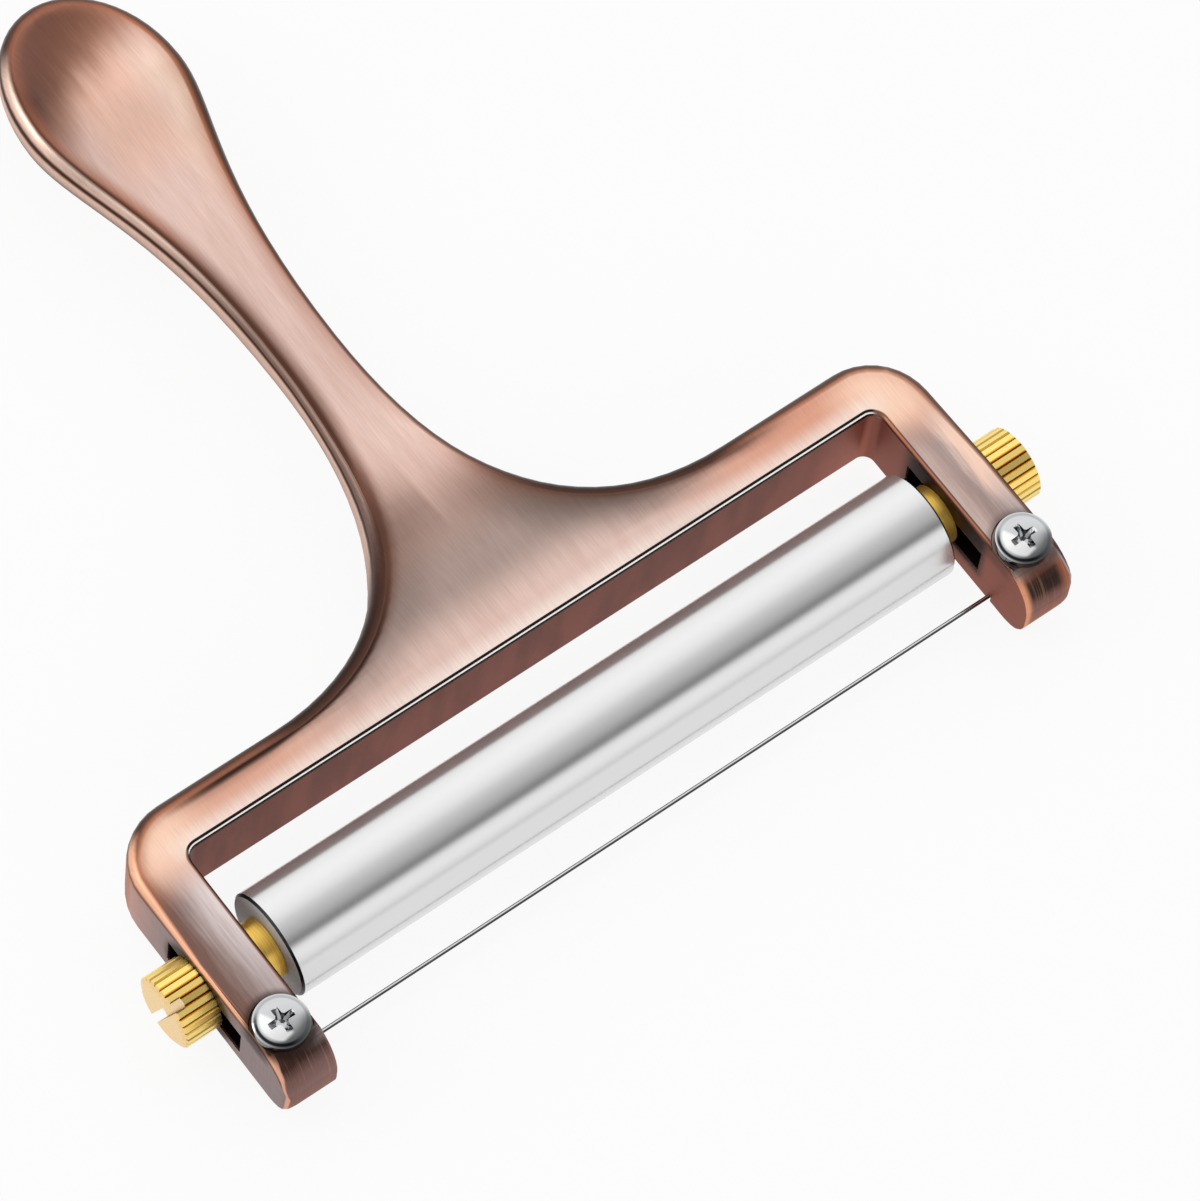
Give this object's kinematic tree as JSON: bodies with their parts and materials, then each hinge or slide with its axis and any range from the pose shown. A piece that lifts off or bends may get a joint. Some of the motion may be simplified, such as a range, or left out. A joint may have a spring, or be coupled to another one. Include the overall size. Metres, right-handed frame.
{
  "type": "cheese slicer",
  "caption": "Hand cheese slicer: cast yoke with a paddle handle, a roller that sets the slice, and a cutting wire kept taut between the arm tips.",
  "frame": {"origin": "midway along and across the slicer, at the level of the roller's underside", "axes": "+X to the right arm, +Y along the handle to its free end, +Z out of the front face"},
  "size_m": [0.1452, 0.1541, 0.0169],
  "materials": {
    "copper_plate": "brushed antique copper plating on zinc",
    "roller_metal": "satin turned",
    "brass": "turned and knurled",
    "screw_chrome": "polished",
    "wire_steel": "drawn stainless wire"
  },
  "bodies": {
    "casting": {"frame": "copper_plate", "cutting_wire": "wire_steel"},
    "axle_carriage": {"left_stub_axle": "brass", "right_stub_axle": "brass"},
    "roller": {"roller_tube": "roller_metal"},
    "left_thumb": {"left_thumbscrew": "brass"},
    "right_thumb": {"right_thumbscrew": "brass"},
    "left_tension": {"left_tension_screw": "screw_chrome"},
    "right_tension": {"right_tension_screw": "screw_chrome"},
    "left_nut": {"left_wire_nut": "brass"},
    "right_nut": {"right_wire_nut": "brass"}
  },
  "joints": [
    {"name": "roller_slide", "type": "slide", "parent": "casting", "child": "axle_carriage", "axis": [0, 1, 0], "range_m": [-0.0055, 0.0045]},
    {"name": "roller_spin", "type": "hinge", "parent": "axle_carriage", "child": "roller", "pos_m": [0, -0.05715, 0.008], "axis": [1, 0, 0], "continuous": true},
    {"name": "left_thumbscrew_turn", "type": "hinge", "parent": "axle_carriage", "child": "left_thumb", "pos_m": [-0.0695, -0.05715, 0.008], "axis": [-1, 0, 0], "range_deg": [0, 360]},
    {"name": "right_thumbscrew_turn", "type": "hinge", "parent": "axle_carriage", "child": "right_thumb", "pos_m": [0.0695, -0.05715, 0.008], "axis": [1, 0, 0], "range_deg": [0, 360]},
    {"name": "left_tension_turn", "type": "hinge", "parent": "casting", "child": "left_tension", "pos_m": [-0.06245, -0.06965, 0.0146], "axis": [0, 0, 1], "range_deg": [0, 1080]},
    {"name": "right_tension_turn", "type": "hinge", "parent": "casting", "child": "right_tension", "pos_m": [0.06245, -0.06965, 0.0146], "axis": [0, 0, 1], "range_deg": [0, 1080]},
    {"name": "left_nut_slide", "type": "slide", "parent": "casting", "child": "left_nut", "axis": [0, 0, 1], "range_m": [-0.0015, 0]},
    {"name": "right_nut_slide", "type": "slide", "parent": "casting", "child": "right_nut", "axis": [0, 0, 1], "range_m": [-0.0015, 0]}
  ],
  "couplings": [
    {"joint": "left_tension_turn", "follows": "left_nut_slide", "rad_per_m": -12566},
    {"joint": "right_tension_turn", "follows": "right_nut_slide", "rad_per_m": -12566}
  ]
}
